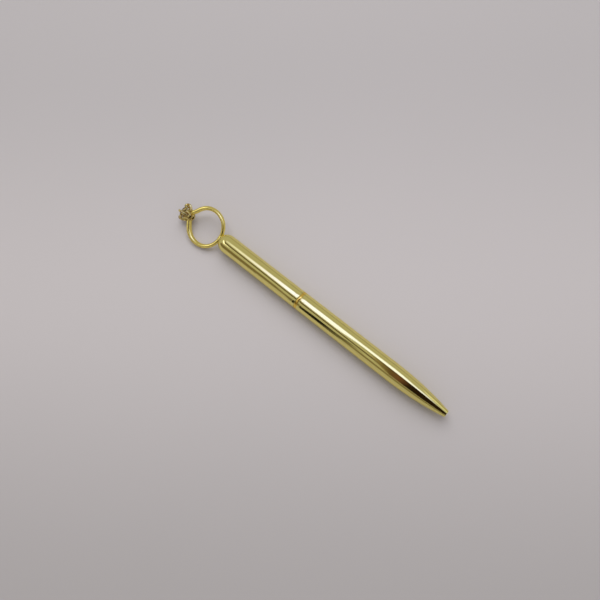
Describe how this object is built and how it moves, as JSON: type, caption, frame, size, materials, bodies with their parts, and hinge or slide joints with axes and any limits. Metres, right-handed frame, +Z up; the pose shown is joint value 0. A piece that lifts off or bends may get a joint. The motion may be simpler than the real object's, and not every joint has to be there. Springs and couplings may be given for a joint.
{
  "type": "retractable ballpoint pen",
  "caption": "Slim twist-action ballpoint pen in polished gold metal, with a centre band, a one-piece convex nose and a claw-set finger ring standing on its domed top.",
  "frame": {"origin": "on the surface that the pen lies on, under the middle of its overall length, below the barrel's axis", "axes": "+X along the barrel towards the nose, +Z up from the surface, +Y to the side where the ring's plane rises"},
  "size_m": [0.1472, 0.018, 0.0085],
  "materials": {
    "polished_gold": "polished light gold plating, mirror-like",
    "band_gold": "polished, more orange gold plating",
    "cast_gold": "cast and polished light gold plating",
    "clear_crystal": "clear faceted crystal",
    "brass": "turned brass",
    "white_plastic": "moulded nylon",
    "black_plastic": "moulded nylon",
    "black_rubber": "matt rubber ring",
    "steel": "machined steel",
    "ink": "thick ballpoint ink, wet",
    "grease": "pale translucent grease"
  },
  "bodies": {
    "lower": {"lower_barrel": "polished_gold", "centre_band": "band_gold", "tip_guide": "brass", "coupling_sleeve": "brass", "mechanism_body": "white_plastic", "mechanism_end_cap": "black_plastic"},
    "cam": {"mechanism_cam": "brass", "grip_ring": "black_rubber"},
    "upper": {"upper_barrel": "polished_gold", "top_plug": "white_plastic", "ring_saddle": "cast_gold", "ring_shank": "cast_gold", "gem_setting": "cast_gold", "gem_stone": "clear_crystal"},
    "refill": {"refill_holder": "black_plastic", "cam_follower_pin": "steel", "refill_plug": "brass", "refill_tube": "brass", "ink_follower": "grease", "ink_column": "ink", "refill_tip": "steel"},
    "ball": {"writing_ball": "steel"}
  },
  "joints": [
    {"name": "twist", "type": "hinge", "parent": "lower", "child": "cam", "pos_m": [0, 0, 0.00424], "axis": [1, 0, 0], "range_deg": [0, 180]},
    {"name": "upper_pull_off", "type": "slide", "parent": "cam", "child": "upper", "axis": [-1, 0, 0], "range_m": [0, 0.035]},
    {"name": "refill_advance", "type": "slide", "parent": "lower", "child": "refill", "axis": [1, 0, 0], "range_m": [0, 0.005]},
    {"name": "ball_roll", "type": "hinge", "parent": "refill", "child": "ball", "pos_m": [0.07111, 0, 0.00424], "axis": [0, 1, 0], "continuous": true}
  ],
  "couplings": [
    {"joint": "refill_advance", "follows": "twist", "m_per_rad": 0.0015915}
  ]
}
